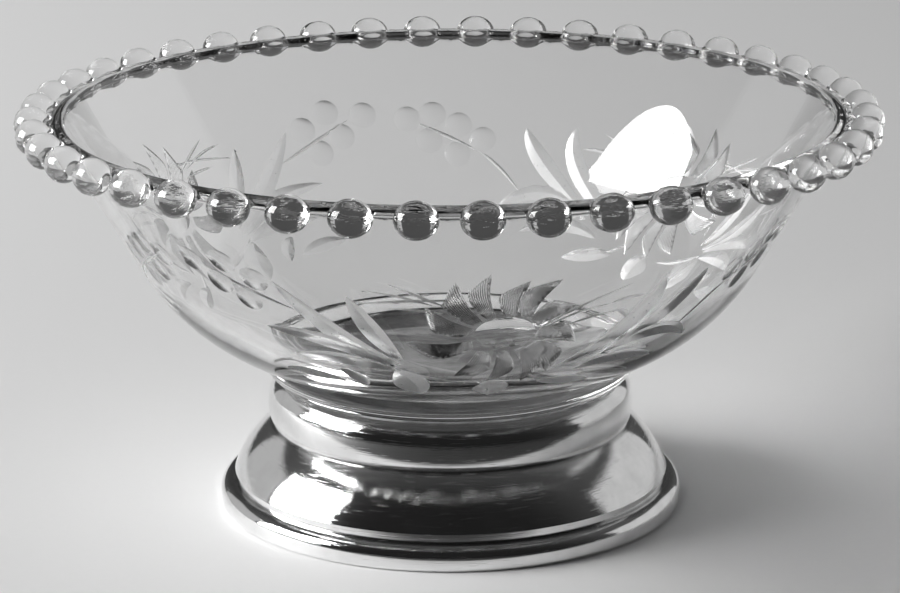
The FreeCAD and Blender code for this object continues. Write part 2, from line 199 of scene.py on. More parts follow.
def glassInside():
    # Mouth rounding, inner flare, inner curve and floor, from the rim's top land to the axis.
    rounding = bowl["mouthRounding"]
    tangent = rounding * math.tan(flareAngle / 2)
    centre = mouth + np.array([tangent, -rounding])
    degrees = math.degrees(flareAngle)
    lip = arcRows(centre, rounding, 90, 90 + degrees, bowl["lipSteps"])
    curve = bowl["innerCurve"]
    centreHeight = bowl["floorHeight"] + curve
    drop = (mouth[1] + inward[1] * curve - centreHeight) / along[1]
    innerBend = mouth - along * drop
    centre = innerBend + inward * curve
    flare = lineRows(lip[-1, :2], innerBend, bowl["flareSteps"])
    side = arcRows(centre, curve, degrees - 90, -90, bowl["insideSteps"], sign=-1)
    floor = lineRows((centre[0], bowl["floorHeight"]), (0, bowl["floorHeight"]), bowl["floorSteps"])
    return [lip, flare, side, floor], mouth[0] + tangent


def glassBase():
    # Stub and shoulder, from the axis under the stub to the lower edge of the side.
    curve = bowl["shoulderCurve"]
    shoulderTop = bowl["shoulderBase"] + curve
    corner = (bowl["stubRadius"], bowl["shoulderBase"])
    return [
        lineRows((0, bowl["stubBase"]), (bowl["stubRadius"], bowl["stubBase"]), bowl["baseSteps"]),
        lineRows((bowl["stubRadius"], bowl["stubBase"]), corner, bowl["stubSteps"]),
        lineRows(corner, (bowl["shoulderRadius"], bowl["shoulderBase"])),
        arcRows((bowl["shoulderRadius"], shoulderTop), curve, -90, 0, bowl["shoulderSteps"]),
        lineRows((bowl["edgeRadius"], shoulderTop), edge),
    ]


def softUnion(a, b, k):
    # The nearer of two distances, less h h k / 4 where they differ by less than k.
    h = np.maximum(k - np.abs(a - b), 0) / k
    return np.minimum(a, b) - h * h * k / 4


def rimDistance(radius, height):
    # Distance outside the turned rim: a rounded flat ring joined softly to the flare's outer face.
    wall = (radius - bend[0]) * -inward[0] + (height - bend[1]) * -inward[1]
    wall = np.maximum(wall, height - bowl["rimTop"] + bowl["flareStop"])
    r = bowl["rimRounding"]
    half = bowl["rimThickness"] / 2
    outX = radius - bowl["rimRadius"] + r
    outZ = np.abs(height - bowl["rimTop"] + half) - half + r
    ring = np.hypot(np.maximum(outX, 0), np.maximum(outZ, 0)) + np.minimum(np.maximum(outX, outZ), 0) - r
    return softUnion(ring, wall, bowl["rimFillet"])


def beadDistance(side, out, up):
    # Near distance outside one bead, an ellipsoid: |p/r| (|p/r| - 1) / |p/r2|.
    size = np.array([beads["width"] / 2, beads["size"] / 2, beads["size"] / 2])
    p = np.stack([side, out - beads["ring"], up - beads["height"]], -1)
    a = np.linalg.norm(p / size, axis=-1)
    return a * (a - 1) / np.linalg.norm(p / size ** 2, axis=-1)


def cellDistance(p):
    # One bead with the rim behind it, in a frame whose y axis points out through the bead.
    rim = rimDistance(np.hypot(p[..., 0], p[..., 1]), p[..., 2])
    return softUnion(rim, beadDistance(p[..., 0], p[..., 1], p[..., 2]), beads["neckFillet"])


def gradient(field, p, step=0.01):
    # Slope of a field by central differences: (f(p + d) - f(p - d)) / 2 d along each axis.
    shifts = np.eye(3) * step
    return np.stack([field(p + d) - field(p - d) for d in shifts], -1) / (2 * step)


def settle(field, p, rounds=8, leastSlope=0.05):
    # Moves points onto the surface where the field f is zero, by -f g / g.g down its slope g.
    for _ in range(rounds):
        g = gradient(field, p)
        p = p - (field(p) / np.maximum((g * g).sum(-1), leastSlope))[..., None] * g
    return p


def rimPath(innerEdge):
    # Outline of the rim between a cell's two ends, finely sampled: (radius, height), length so far.
    r, top, low = bowl["rimRounding"], bowl["rimTop"], rimUnderside
    steps, roundSteps = beads["pathSteps"], beads["roundSteps"]
    flareFoot = np.array(sideRow(sideTop)[:2])
    corner = np.array(sideRow(sideTop + bowl["cellFoot"])[:2])
    face = bowl["rimRadius"] - r
    runs = [
        lineRows(flareFoot, corner, steps), lineRows(corner, (face, low), steps),
        arcRows((face, low + r), r, -90, 0, roundSteps),
        lineRows((face + r, low + r), (face + r, top - r), roundSteps),
        arcRows((face, top - r), r, 0, 90, roundSteps),
        lineRows((face, top), (innerEdge, top), beads["topSteps"]),
    ]
    path = np.concatenate([run[:, :2] for run in runs])
    path = path[np.r_[True, np.linalg.norm(np.diff(path, axis=0), axis=1) > tiny]]
    length = np.r_[0, np.cumsum(np.linalg.norm(np.diff(path, axis=0), axis=1))]
    return path, length


def sideMarks():
    # Lengths along the rim's outline at which a cell's side border has its points.
    r, foot = bowl["rimRounding"], bowl["cellFoot"]
    underside = bowl["rimRadius"] - r - sideRow(sideTop + foot)[0]
    above, below = (share * foot for share in beads["cornerShares"])
    eighth = r * math.pi / 4
    straight = bowl["rimThickness"] - 2 * r
    rest = underside + foot - above - below
    return np.cumsum([0, above, below, rest, eighth, eighth, straight, eighth, eighth])


def cellBorder(length):
    # The cell's rectangular border, anticlockwise from its lower left corner: each point's azimuth
    # and length along the outline, its way round the bead (a quarter turn for each side), and the
    # numbers of the points on the two sides that the next cells share.
    across = bowl["columns"] // beads["count"]
    halfPitch = math.pi / beads["count"]
    marks = np.r_[sideMarks(), length]
    up = len(marks) - 1
    turn = np.linspace(-halfPitch, halfPitch, across + 1)
    bottom = np.stack([turn[:-1], np.zeros(across)], -1)
    right = np.stack([np.full(up, halfPitch), marks[:-1]], -1)
    top = np.stack([turn[:0:-1], np.full(across, length)], -1)
    left = np.stack([np.full(up, -halfPitch), marks[:0:-1]], -1)
    quarters = [side + np.arange(n) / n for side, n in enumerate((across, up, across, up))]
    sides = np.r_[across:across + up, 2 * across + up:2 * (across + up)]
    corners = np.isin(sides, [across, 2 * across + up])
    way = np.radians(-135 + 90 * np.concatenate(quarters))
    return np.concatenate([bottom, right, top, left]), way, sides[~corners]


def beadCell(innerEdge):
    # One cell of the rim as a polar net about the bead's outward axis: rings over the bead from its
    # pole to its neck, then rings that spread from the neck to the cell's rectangular border.
    path, length = rimPath(innerEdge)
    border, way, sides = cellBorder(length[-1])
    count = len(border)
    halfWidth, halfSize = beads["width"] / 2, beads["size"] / 2

    def onBead(tilt):
        # Point of the bead at this angle from its outward pole, for each way round: the middle
        # plus (w sin tilt cos way, s cos tilt, s sin tilt sin way).
        return np.stack([halfWidth * np.sin(tilt) * np.cos(way), beads["ring"] + halfSize * np.cos(tilt),
                         beads["height"] + halfSize * np.sin(tilt) * np.sin(way)], -1)

    low, high = (np.full(count, tilt) for tilt in beads["neckTilts"])
    for _ in range(beads["halvings"]):               # where the bead's surface enters the rim
        middle = (low + high) / 2
        p = onBead(middle)
        inside = rimDistance(np.hypot(p[:, 0], p[:, 1]), p[:, 2]) < 0
        low, high = np.where(inside, low, middle), np.where(inside, middle, high)
    neck = onBead(low)
    capTilts = np.sin(np.linspace(0, 1, beads["capRings"] + 1) * math.pi / 2) ** beads["capEasing"]
    cap = np.stack([onBead(low * share * beads["capShare"]) for share in capTilts[1:]])
    neckRow = np.stack([np.hypot(neck[:, 0], neck[:, 1]), neck[:, 2]], -1)
    near = np.linalg.norm(path[None] - neckRow[:, None], axis=2).argmin(1)
    neckPlace = np.stack([np.arctan2(neck[:, 0], neck[:, 1]), length[near]], -1)
    share = (np.linspace(0, 1, beads["neckRings"] + 1)[1:] ** beads["neckEasing"])[:, None, None]
    places = neckPlace[None] * (1 - share) + border[None] * share
    radius = np.interp(places[..., 1], length, path[:, 0])
    height = np.interp(places[..., 1], length, path[:, 1])
    spread = np.stack([radius * np.sin(places[..., 0]), radius * np.cos(places[..., 0]), height], -1)
    pole = onBead(np.zeros(count))[:1]
    net = np.concatenate([cap, spread])
    net[:-1] = settle(cellDistance, net[:-1])
    net[-1, sides] = settle(cellDistance, net[-1, sides])
    points = np.concatenate([pole, net.reshape(-1, 3)])
    normals = gradient(cellDistance, points)
    j = np.arange(count)
    k = (j + 1) % count
    rings = 1 + np.arange(len(net))[:, None] * count
    fan = np.stack([np.zeros(count, int), 1 + k, 1 + j], -1)
    quads = np.stack([rings[:-1] + j, rings[:-1] + k, rings[1:] + k, rings[1:] + j], -1).reshape(-1, 4)
    return points, [fan, quads], normals


def beadedRim(innerEdge):
    # The cell, repeated round the rim.
    points, faces, normals = beadCell(innerEdge)
    numbers = [np.zeros(len(f), int) for f in faces]
    turns = np.radians((np.arange(beads["count"]) + 0.5) * 360 / beads["count"])
    patches = []
    for turn in turns:
        c, s = math.cos(turn), math.sin(turn)
        spin = np.array([[s, c, 0], [-c, s, 0], [0, 0, 1]])   # the cell's y axis goes to this angle
        shade = normals @ spin.T
        patches.append((points @ spin.T, faces, [shade[f] for f in faces], numbers))
    print("rim: %d beads, %d faces each" % (len(patches), sum(len(f) for f in faces)))
    return patches


# Wheel-cut decoration. A place is (azimuth in degrees, arc length up the side), and widths are in
# millimetres of the side unrolled at the radius "roll".
cuts = {
    "sprays": 3, "roll": 48.0,
    "firstColumn": -52,                              # the spray's left border, in columns from the front
    "rows": 25,                                      # plain rows from the lower edge to the rim
    "clear": 0.22,                                   # plain points keep this far from a cut
    "margin": 0.1,                                   # a round hollow is looked for this far outside it
    "netStep": 1e-4,                                 # points this near are one in the net
    "slopeStep": 0.012, "slopeInset": 0.12,          # where a face corner's slope is measured
    "leastCosine": 0.3,                              # between the shading normal and the face's own
    "leastDepth": 0.003,                             # shallower faces keep the clear finish
    "spinePoints": 65, "leafEnds": 0.72,             # a leaf's curve, and how blunt its ends are
    "leastWidth": 1e-6,                              # of a leaf's very ends
    "leafDepth": 0.42, "leafSteps": 15, "leafSlope": (0.75, 0.25),
    "shallowEnds": 1.25,                             # how soon a leaf is full deep, from its ends
    "wideLeaf": 0.6,                                 # half width from which a leaf has more lines
    "strokeDepth": 0.16, "strokeSteps": 11,
    "budSize": (2.15, 2.25), "budDepth": 0.34, "budSteps": 16, "budRings": (1, 0.72, 0.4),
    "dish": (9.2, 26.0), "dishSize": (4.3, 3.1), "dishDepth": 0.5, "dishSteps": 30,
}
comb = {
    "grooves": 9, "depth": 0.36, "ridge": 0.17,      # of a petal, and how far the ridges rise between
    "tip": 1.1, "root": 1.0,                         # length over which a groove runs out
    "narrow": 0.5, "fan": 1.9,                       # width at the root, and how the fan opens
    "bow": 0.42,                                     # bend of the grooves
    "longest": 1.1, "slant": 0.34, "slantEasing": 1.2,   # from the longest groove to the shortest
    "grooveSteps": 9, "ridgeSteps": 8, "sideSteps": 6, "margin": 1,
}
# Petals: tip, root, and width at the tip.
petals = [
    ((4.5, 37.0), (6.8, 29.0), 2.7), ((10.3, 35.8), (10.0, 29.2), 2.9), ((15.0, 36.0), (12.4, 28.9), 3.1),
    ((19.7, 31.4), (14.0, 27.6), 3.5), ((22.0, 24.6), (14.6, 25.4), 3.2), ((20.0, 17.8), (14.0, 23.4), 3.6),
    ((15.8, 14.9), (12.0, 22.6), 3.1), ((9.2, 14.6), (8.9, 22.2), 3.0), ((3.0, 15.9), (5.8, 22.4), 3.7),
    ((-6.6, 22.6), (3.8, 23.9), 3.2), ((-4.2, 29.6), (3.6, 26.3), 3.2), ((-0.4, 35.0), (4.7, 28.0), 3.0),
]
# Long leaves with a crease down the middle: three places of the spine, and the width.
leaves = [
    ((-28.5, 34.5), (-19.6, 25.0), (-9.0, 19.0), 3.3), ((-16.3, 33.0), (-13.2, 26.2), (-8.5, 20.0), 3.2),
    ((35.6, 34.2), (33.0, 26.2), (20.0, 17.0), 3.3), ((45.4, 33.5), (40.3, 26.8), (29.0, 19.0), 3.2),
    ((-33.5, 24.8), (-20.5, 23.0), (-10.0, 18.6), 2.8), ((-30.0, 19.3), (-20.0, 19.4), (-10.0, 17.4), 2.7),
    ((-35.0, 14.6), (-28.5, 14.1), (-22.0, 12.8), 2.7), ((-21.8, 16.6), (-18.8, 14.4), (-17.6, 11.8), 2.8),
    ((-10.6, 17.2), (-8.0, 13.4), (-6.6, 9.2), 6.2), ((7.6, 14.4), (8.4, 11.8), (8.2, 8.6), 6.4),
    ((30.0, 19.6), (41.0, 22.3), (50.0, 18.8), 2.8), ((24.5, 15.6), (34.0, 17.4), (44.0, 15.4), 2.8),
    ((18.0, 13.0), (24.5, 12.2), (31.0, 11.0), 3.0),
]
# Fine strokes, the same way.
strokes = [
    ((-0.5, 31.5), (-5.2, 33.8), (-9.5, 36.0), 0.55), ((-2.0, 31.5), (-8.0, 33.5), (-13.5, 34.4), 0.5),
    ((3.0, 32.8), (-6.0, 32.7), (-15.0, 31.6), 0.5), ((-1.0, 30.3), (-5.0, 30.8), (-10.0, 31.0), 0.5),
    ((15.0, 26.4), (21.5, 30.3), (30.0, 33.7), 0.55), ((15.2, 26.0), (20.8, 28.9), (27.0, 30.0), 0.5),
    ((27.0, 30.2), (30.2, 30.7), (33.5, 30.6), 0.7), ((19.3, 26.5), (24.0, 27.8), (28.5, 28.4), 0.5),
    ((28.3, 28.5), (30.2, 27.8), (31.2, 26.2), 1.0), ((14.5, 23.6), (18.2, 23.8), (22.0, 23.2), 0.5),
    ((-10.2, 18.0), (-4.0, 15.3), (3.0, 13.7), 0.9), ((-25.5, 29.0), (-33.4, 31.9), (-41.2, 35.4), 0.6),
    ((54.0, 29.0), (60.0, 31.6), (66.5, 34.4), 0.6), ((45.0, 22.0), (50.0, 26.4), (54.0, 29.0), 0.6),
    ((14.0, 16.5), (17.5, 14.2), (21.5, 12.6), 0.7),
]
# Round hollows of the two sprigs.
buds = [
    (-44.0, 36.0), (-37.0, 36.9), (-31.9, 34.3), (-39.4, 32.5), (-34.6, 30.0),
    (63.1, 35.6), (67.8, 34.9), (63.8, 31.0), (58.4, 28.6), (58.3, 33.7), (53.6, 31.2),
]


def plane(place):
    # Place on the unrolled side, in millimetres: (azimuth times the radius "roll", length up the side).
    place = np.asarray(place, float)
    return np.stack([np.radians(place[..., 0]) * cuts["roll"], place[..., 1]], -1)


def spine(first, middle, last, steps):
    # Quadratic curve (1-t)^2 a + 2 t (1-t) m + t^2 c, with m chosen so that it meets the middle place.
    a, b, c = plane(first), plane(middle), plane(last)
    bend = 2 * b - (a + c) / 2
    t = np.linspace(0, 1, steps)[:, None]
    return (1 - t) ** 2 * a + 2 * t * (1 - t) * bend + t ** 2 * c


def swelling(t):
    # Half width of a leaf along its spine: a power of sin(pi t), so pointed at both ends.
    return np.sin(np.pi * np.clip(t, 0, 1)) ** cuts["leafEnds"]


class Leaf:
    # A hollow with its deepest line along a curved spine.
    def __init__(self, first, middle, last, width, depth, steps):
        self.half, self.depth, self.steps = width / 2, depth, steps
        self.line = spine(first, middle, last, cuts["spinePoints"])
        self.low, self.high = self.line.min(0) - width, self.line.max(0) + width

    def hollow(self, p):
        # Depth at p: 1 - steep q - curved q q, with q the distance from the spine over the half
        # width there, and shallower where the leaf is narrow.
        apart = p[:, None] - self.line[None]
        near = (apart ** 2).sum(-1).argmin(1)
        start = np.clip(near - 1, 0, len(self.line) - 3)
        best, share = np.full(len(p), np.inf), np.zeros(len(p))
        for k in (0, 1):
            a, b = self.line[start + k], self.line[start + k + 1]
            t = np.clip(((p - a) * (b - a)).sum(-1) / ((b - a) ** 2).sum(-1), 0, 1)
            d = np.linalg.norm(p - a - t[:, None] * (b - a), axis=1)
            closer = d < best
            best = np.where(closer, d, best)
            share = np.where(closer, (start + k + t) / (len(self.line) - 1), share)
        width = self.half * swelling(share) + cuts["leastWidth"]
        q = best / width
        steep, curved = cuts["leafSlope"]
        full = np.minimum(width / self.half * cuts["shallowEnds"], 1)
        return self.depth * full * np.maximum(1 - steep * q - curved * q * q, 0)

    def lines(self):
        # The spine, both edges, and on a wide leaf a line halfway to each edge.
        t = np.linspace(0, 1, self.steps)
        place = np.linspace(0, 1, len(self.line))
        middle = np.stack([np.interp(t, place, self.line[:, k]) for k in (0, 1)], -1)
        along = np.gradient(middle, axis=0)
        across = np.stack([-along[:, 1], along[:, 0]], -1) / np.linalg.norm(along, axis=1, keepdims=True)
        reach = (self.half * swelling(t))[:, None] * across
        rows = [middle, middle + reach, middle - reach]
        if self.half > cuts["wideLeaf"]:
            rows += [(middle + reach * 0.5)[1:-1], (middle - reach * 0.5)[1:-1]]
        return rows


class Bud:
    # A round hollow.
    def __init__(self, place, size, depth, steps):
        self.centre, self.size, self.depth, self.steps = plane(place), np.array(size), depth, steps
        reach = self.size + cuts["margin"]
        self.low, self.high = self.centre - reach, self.centre + reach

    def hollow(self, p):
        # Depth at p: 1 - x^2 / w^2 - y^2 / h^2 about the middle.
        return self.depth * np.maximum(1 - (((p - self.centre) / self.size) ** 2).sum(-1), 0)

    def lines(self):
        # The edge and two rings inside it, the last with half as many points. Each is turned a
        # little, so that their points don't stand in line.
        rows = []
        for share, steps in zip(cuts["budRings"], (self.steps, self.steps, self.steps // 2)):
            a = np.linspace(0, 2 * np.pi, steps + 1) + share
            rows.append(self.centre + share * self.size * np.stack([np.cos(a), np.sin(a)], -1))
        return rows


class Comb:
    # A petal of grooves that fan out from its root, bow a little and run out in points. The one
    # on the clockwise side is the longest, so that the petal ends in a slanted point.
    def __init__(self, tip, root, width):
        self.root, self.tip = plane(root), plane(tip)
        self.length = np.linalg.norm(self.tip - self.root)
        self.along = (self.tip - self.root) / self.length
        self.across = np.array([-self.along[1], self.along[0]])
        self.count = comb["grooves"]
        self.wide, self.narrow = width, width * comb["narrow"]
        reach = self.along * (self.length * comb["longest"] + comb["margin"])
        ends = np.stack([self.root, self.root + reach])
        self.low, self.high = ends.min(0) - width, ends.max(0) + width
        place = np.arange(self.count) / (self.count - 1)
        self.ends = self.length * (comb["longest"] - comb["slant"] * place ** comb["slantEasing"])

    def pitch(self, t):
        # Width of a groove at the length t: the fan opens with the sine of its share of the length.
        opened = np.sin(np.clip(t / self.length, 0, 1) * comb["fan"])
        return (self.narrow + (self.wide - self.narrow) * opened) / self.count

    def bow(self, t):
        # Sideways shift of the grooves, t (1 - t / length), none at the root and at the tip.
        return comb["bow"] * (t - t * t / self.length)

    def bottom(self, t, k):
        # Depth of the groove k at the length t: full, but running out at its root and tip.
        return comb["depth"] * np.minimum(np.minimum(t / comb["root"], (self.ends[k] - t) / comb["tip"]), 1)

    def hollow(self, p):
        # Depth at p: the deepest of the three nearest grooves, each a V about its bottom.
        t = (p - self.root) @ self.along
        x = (p - self.root) @ self.across - self.bow(t)
        pitch = self.pitch(t)
        place = np.clip(np.floor(x / pitch + self.count / 2), 0, self.count - 1).astype(int)
        deep = np.zeros(len(p))
        for shift in (-1, 0, 1):
            k = np.clip(place + shift, 0, self.count - 1)
            off = np.abs(x - (k + 0.5 - self.count / 2) * pitch) / pitch
            deep = np.maximum(deep, self.bottom(t, k) - 2 * comb["ridge"] * off)
        return deep

    def shaded(self, p):
        # The anticlockwise flank of each groove, where shade is painted: the second half of its pitch.
        t = (p - self.root) @ self.along
        x = (p - self.root) @ self.across - self.bow(t)
        return (x / self.pitch(t) + self.count / 2) % 1 > 0.5

    def at(self, t, k):
        # Places at the lengths t on the line k grooves from the middle of the petal.
        return self.root + t[:, None] * self.along + (k * self.pitch(t) + self.bow(t))[:, None] * self.across

    def lines(self):
        # Groove bottoms, ridges between them, the zigzag edge at root and tip, and the outer sides.
        half = self.count / 2
        rise = comb["ridge"] / comb["depth"]
        reach = 0.5 / rise                           # from the outer groove to the edge, in pitches
        bottoms = np.arange(self.count) + 0.5 - half
        ridges = bottoms[:-1] + 0.5
        first = comb["root"] * rise                  # where the ridges begin and end
        last = np.minimum(self.ends[:-1], self.ends[1:]) - comb["tip"] * rise
        rows = [self.at(np.linspace(0, end, comb["grooveSteps"]), k) for end, k in zip(self.ends, bottoms)]
        rows += [self.at(np.linspace(first, end, comb["ridgeSteps"]), k) for end, k in zip(last, ridges)]
        for low, high in ((np.zeros(self.count), np.full(self.count - 1, first)), (self.ends, last)):
            zig = np.zeros((2 * self.count - 1, 2))
            zig[::2] = self.at(low, bottoms)
            zig[1::2] = self.at(high, ridges)
            rows.append(zig)
        for side, k in ((-1, 0), (1, self.count - 1)):
            full = np.linspace(comb["root"], self.ends[k] - comb["tip"], comb["sideSteps"])
            t = np.r_[0, full, self.ends[k]]
            shift = np.full(len(t), reach)
            shift[[0, -1]] = 0
            rows.append(self.at(t, bottoms[k] + side * shift))
        return rows


def sprayHollows():
    # The spray's hollows, one list for each finish: ground, combed and half polished.
    ground = [Leaf(*leaf, cuts["leafDepth"], cuts["leafSteps"]) for leaf in leaves]
    ground += [Leaf(*stroke, cuts["strokeDepth"], cuts["strokeSteps"]) for stroke in strokes]
    polished = [Bud(bud, cuts["budSize"], cuts["budDepth"], cuts["budSteps"]) for bud in buds]
    return ground, [Comb(*petal) for petal in petals], polished


def depthOf(hollows, p):
    # Depth below the plain side: the deepest of the hollows.
    deep = np.zeros(len(p))
    for hollow in hollows:
        inside = ((p > hollow.low) & (p < hollow.high)).all(1)
        if inside.any():
            deep[inside] = np.maximum(deep[inside], hollow.hollow(p[inside]))
    return deep


def sprayNet(every):
    # Triangles over one spray of the unrolled side, tied to the edges and creases of its hollows.
    perSpray = bowl["columns"] // cuts["sprays"]
    pitch = np.radians(360 / bowl["columns"]) * cuts["roll"]
    columns = (cuts["firstColumn"] + np.arange(perSpray + 1)) * pitch
    heights = np.linspace(0, sideTop, cuts["rows"])
    frameLines = [np.stack([columns, np.full(len(columns), height)], -1) for height in (0, sideTop)]
    frameLines += [np.stack([np.full(len(heights), side), heights], -1) for side in columns[[0, -1]]]
    features = [line for hollow in every for line in hollow.lines()]
    points, edges, count = [], [], 0
    for line in frameLines + features:
        points.append(line)
        steps = count + np.arange(len(line))
        edges.append(np.stack([steps[:-1], steps[1:]], -1))
        count += len(line)
    marks = np.concatenate(features)
    u, v = np.meshgrid(columns[1:-1:2], heights[1:-1])
    plain = np.stack([u.ravel(), v.ravel()], -1)
    apart = ((plain[:, None] - marks[None]) ** 2).sum(-1).min(1) ** 0.5
    plain = plain[(apart > cuts["clear"]) & (depthOf(every, plain) <= 0)]
    points = np.concatenate(points + [plain])
    net = delaunay_2d_cdt([Vector(p) for p in points.tolist()], np.concatenate(edges).tolist(), [],
                          0, cuts["netStep"], True)
    flat = np.array([tuple(p) for p in net[0]])
    given = np.array([ids[0] if ids else -1 for ids in net[3]])
    flat[given >= 0] = points[given[given >= 0]]       # exact again, so that the borders meet
    faces = np.array([f for f in net[2] if len(f) == 3])
    a, b, c = (flat[faces[:, k]] for k in range(3))
    area = (b[:, 0] - a[:, 0]) * (c[:, 1] - a[:, 1]) - (b[:, 1] - a[:, 1]) * (c[:, 0] - a[:, 0])
    return flat, np.where(area[:, None] < 0, faces[:, ::-1], faces)[np.abs(area) > tiny]


def cornerNormals(every, flat, faces, points):
    # Normals at the face corners: outwards, plus the slope of the hollows just inside each face. Where
    # that leans too far from the face's own normal, the face's is used.
    inset, step = cuts["slopeInset"], cuts["slopeStep"]
    inner = (flat[faces] * (1 - inset) + flat[faces].mean(1)[:, None] * inset).reshape(-1, 2)
    slopes = [(depthOf(every, inner + d) - depthOf(every, inner - d)) / (2 * step) for d in np.eye(2) * step]
    radius, height, outward, upward = sideRow(inner[:, 1])
    angle = inner[:, 0] / cuts["roll"] - np.pi / 2
    level = slopes[0] * cuts["roll"] / radius
    n = np.stack([outward * np.cos(angle), outward * np.sin(angle), upward], -1)
    n += level[:, None] * np.stack([-np.sin(angle), np.cos(angle), np.zeros(len(angle))], -1)
    n += slopes[1][:, None] * np.stack([-upward * np.cos(angle), -upward * np.sin(angle), outward], -1)
    n = n.reshape(-1, 3, 3)
    n /= np.linalg.norm(n, axis=2, keepdims=True)
    a, b, c = (points[faces[:, k]] for k in range(3))
    true = np.cross(b - a, c - a)
    true /= np.maximum(np.linalg.norm(true, axis=1, keepdims=True), tiny)
    return np.where((n * true[:, None]).sum(-1, keepdims=True) > cuts["leastCosine"], n, true[:, None])


def finishNumbers(finishes, middle, centres):
    # The finish of each face, by the deepest hollow at its centre: 0 clear, 1 ground, 2 combed,
    # 3 half polished, and 4, painted shade, on the anticlockwise flanks of the combed grooves.
    depths = np.stack([depthOf(finish, centres) for finish in finishes])
    cut = (depths.max(0) > cuts["leastDepth"]) & (middle.hollow(centres) <= 0)
    number = np.where(cut, 1 + depths.argmax(0), 0)
    for petal in finishes[1]:
        # painted shade: the anticlockwise flanks of the combed grooves get the darker copy
        number[(number == 2) & (petal.hollow(centres) >= depths[1]) & petal.shaded(centres)] = 4
    return number


def cutSide():
    # The side with its hollows: one spray's net laid on the outline, sunk by the depth of the
    # hollows, then repeated round the bowl.
    finishes = sprayHollows()
    middle = Bud(cuts["dish"], cuts["dishSize"], cuts["dishDepth"], cuts["dishSteps"])
    every = sum(finishes, []) + [middle]
    flat, faces = sprayNet(every)
    deep = depthOf(every, flat)
    radius, height, outward, upward = sideRow(flat[:, 1])
    azimuth = np.degrees(flat[:, 0] / cuts["roll"])
    points = turned(azimuth, radius - deep * outward, height - deep * upward)
    n = cornerNormals(every, flat, faces, points)
    number = finishNumbers(finishes, middle, flat[faces].mean(1))
    patches = []
    for spray in range(cuts["sprays"]):
        a = 2 * np.pi * spray / cuts["sprays"]
        spin = np.array([[math.cos(a), -math.sin(a), 0], [math.sin(a), math.cos(a), 0], [0, 0, 1]])
        patches.append((points @ spin.T, [faces], [n @ spin.T], [number]))
    print("side: %d sprays of %d faces, %d of them cut" % (cuts["sprays"], len(faces), (number > 0).sum()))
    return patches


# Silver foot, from the rim on the table up to the lip of the collar
foot = {
    "sheet": 0.7, "radius": 36.05, "hemRadius": 33.0,
    "rimFace": 1.9, "rimShoulder": 2.0, "stepRadius": 33.8, "rimHeight": 3.9, "stepHeight": 5.2,
    "neckRadius": 27.8, "neckHeight": 12.9, "domeCurve": 16.8,
    "bevelRadius": 28.05, "bevelHeight": 18.1, "barrelCurve": 7.4,
    "lipRadius": 26.4, "lipHeight": 20.0, "bevelCurve": 4.5,
    "columns": 360, "hemSteps": 5, "rimSteps": 10, "stepSteps": 2, "domeSteps": 16, "barrelSteps": 14,
    "bevelSteps": 8,
}


def bulge(start, end, radius, steps):
    # Rows along an arc from start to end that bulges to the right, its centre sqrt(r^2 - half^2)
    # to the left of the chord's middle.
    start, end = np.asarray(start, float), np.asarray(end, float)
    chord = end - start
    half = np.linalg.norm(chord) / 2
    left = np.array([-chord[1], chord[0]]) / (2 * half)
    centre = (start + end) / 2 + left * math.sqrt(radius * radius - half * half)
    first, last = (math.degrees(math.atan2(*(p - centre)[::-1])) for p in (start, end))
    return arcRows(centre, radius, first, last, steps)


def spunFoot():
    # Outer face from the hem under the foot to the lip of the collar, then the same runs a sheet's
    # thickness further in, back down to the hem.
    t, f = foot["sheet"], foot
    inner = f["radius"] - t
    shoulder = (f["radius"] - f["rimShoulder"], f["rimHeight"])
    step, neck = (f["stepRadius"], f["stepHeight"]), (f["neckRadius"], f["neckHeight"])
    bevel, lip = (f["bevelRadius"], f["bevelHeight"]), (f["lipRadius"], f["lipHeight"])
    runs = [
        lineRows((f["hemRadius"], 0), (inner, 0)),
        bulge((inner, 0), (f["radius"], t), t, f["hemSteps"]),
        lineRows((f["radius"], t), (f["radius"], f["rimFace"])),
        bulge((f["radius"], f["rimFace"]), shoulder, f["rimShoulder"], f["rimSteps"]),
        lineRows(shoulder, (f["stepRadius"], f["rimHeight"])),
        lineRows((f["stepRadius"], f["rimHeight"]), step, f["stepSteps"]),
        bulge(step, neck, f["domeCurve"], f["domeSteps"]),
        bulge(neck, bevel, f["barrelCurve"], f["barrelSteps"]),
        bulge(bevel, lip, f["bevelCurve"], f["bevelSteps"]),
    ]
    start = np.array(lip)
    for run in runs[:1:-1]:
        rows = run[::-1].copy()
        rows[:, :2] -= rows[:, 2:] * t
        rows[:, 2:] *= -1
        if np.linalg.norm(rows[0, :2] - start) > tiny:
            runs.append(lineRows(start, rows[0, :2]))
        runs.append(rows)
        start = rows[-1, :2]
    runs.append(lineRows(start, (f["hemRadius"], t)))
    runs.append(lineRows((f["hemRadius"], t), (f["hemRadius"], 0)))
    return lathePatches(runs, f["columns"])


# Materials: a noise is (scale per metre, detail, roughness), and a relief is (strength, metres)


def newMaterial(name):
    # A node material with its Principled shader.
    material = bpy.data.materials.new(name)
    material.use_nodes = True
    tree = material.node_tree
    return material, tree, tree.nodes["Principled BSDF"]


def addNode(tree, kind, **values):
    # A node with these properties (small letter) and inputs (capital letter).
    node = tree.nodes.new(kind)
    for key, value in values.items():
        if key[0].isupper():
            node.inputs[key].default_value = value
        else:
            setattr(node, key, value)
    return node


def feed(tree, value, socket):
    # Gives a socket its value: a number, or another node's output.
    if isinstance(value, bpy.types.NodeSocket):
        tree.links.new(value, socket)
    else:
        socket.default_value = value


